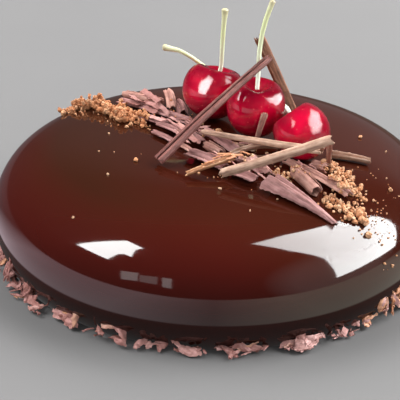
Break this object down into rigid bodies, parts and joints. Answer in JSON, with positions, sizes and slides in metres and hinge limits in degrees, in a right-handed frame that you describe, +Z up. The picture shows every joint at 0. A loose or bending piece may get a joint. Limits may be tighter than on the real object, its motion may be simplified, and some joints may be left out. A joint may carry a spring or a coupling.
{
  "type": "mousse cake",
  "caption": "Round mirror-glazed chocolate mousse cake with soft rounded edges, topped with cherries, chocolate curls and biscuit crumbs, with shavings round its foot.",
  "frame": {"origin": "middle of the cake's flat bottom, where it rests", "axes": "+Z up; the front, the side the picture was taken from, faces -Y"},
  "size_m": [0.1859, 0.1862, 0.0994],
  "materials": {
    "glaze": "mirror gloss, dark chocolate",
    "cherry": "gloss, deep red fruit skin",
    "stem": "satin, pale green stalk",
    "chocolate": "matte milk chocolate"
  },
  "bodies": {
    "root": {"cake": "glaze", "cherry_left": "cherry", "cherry_middle": "cherry", "cherry_right": "cherry", "curl_arc": "chocolate", "curl_arc_inner": "chocolate", "curl_bark_big": "chocolate", "curl_chip_back": "chocolate", "curl_chip_cherry": "chocolate", "curl_cone": "chocolate", "curl_flake_inner": "chocolate", "curl_flake_low": "chocolate", "curl_gutter_left": "chocolate", "curl_gutter_right": "chocolate", "curl_plank_double": "chocolate", "curl_plank_front": "chocolate", "curl_plank_gap": "chocolate", "curl_plank_long": "chocolate", "curl_plank_middle": "chocolate", "curl_plank_short": "chocolate", "curl_plank_side": "chocolate", "curl_plank_under": "chocolate", "curl_ring": "chocolate", "curl_roll_low": "chocolate", "curl_roll_small": "chocolate", "curl_roll_top": "chocolate", "curl_roll_wide": "chocolate", "curl_scroll_long": "chocolate", "curl_scroll_tall": "chocolate", "curl_splinter_right": "chocolate", "curl_stick_cherry": "chocolate", "curl_stick_prop": "chocolate", "curl_thin_back": "chocolate", "stem_left": "stem", "stem_middle": "stem", "stem_right": "stem"}
  },
  "joints": []
}
